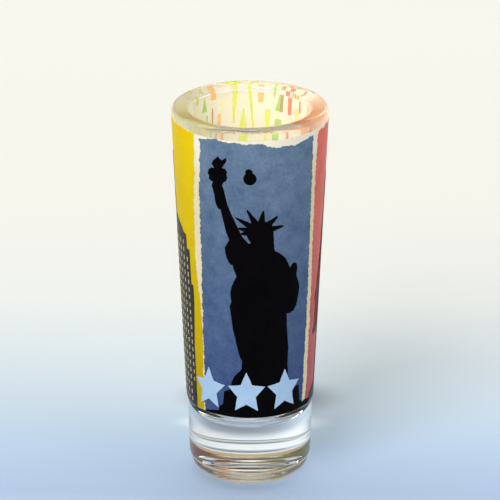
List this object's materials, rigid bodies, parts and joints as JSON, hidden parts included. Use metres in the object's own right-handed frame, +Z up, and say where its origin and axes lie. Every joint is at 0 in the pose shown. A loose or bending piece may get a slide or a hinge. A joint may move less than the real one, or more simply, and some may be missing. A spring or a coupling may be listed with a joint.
{
  "type": "shot glass",
  "caption": "Tall tapered shooter glass with a thick clear base and a wrap-around printed panel design of a torch-bearing statue, a tower, a bridge and coloured marks.",
  "frame": {"origin": "centre of the resting plane under the base", "axes": "+Z up through the mouth, -Y towards the side with the statue panel, +X to the right when facing that panel"},
  "size_m": [0.0399, 0.0399, 0.1016],
  "materials": {
    "clear_glass": "fire-polished clear soda-lime glass",
    "white_ink": "thin translucent off-white fired print",
    "blue_ink": "mottled slate-blue print",
    "yellow_ink": "bright yellow print",
    "red_ink": "crimson print",
    "black_ink": "near-black print",
    "cream_ink": "pale yellow-grey print",
    "pale_blue_ink": "light blue print",
    "lime_ink": "lime-green print",
    "orange_ink": "orange print",
    "green_ink": "leaf-green print",
    "brown_ink": "olive-brown print"
  },
  "bodies": {
    "root": {"glass_body": "clear_glass", "white_base_coat": "white_ink", "blue_panel": "blue_ink", "yellow_panel": "yellow_ink", "red_panel": "red_ink", "statue_silhouette": "black_ink", "ink_drop": "black_ink", "tower_silhouette": "black_ink", "tower_windows": "cream_ink", "bridge_silhouette": "black_ink", "star_motifs": "pale_blue_ink", "lime_marks": "lime_ink", "orange_marks": "orange_ink", "green_marks": "green_ink", "red_marks": "red_ink", "brown_marks": "brown_ink", "yellow_marks": "yellow_ink"}
  },
  "joints": []
}
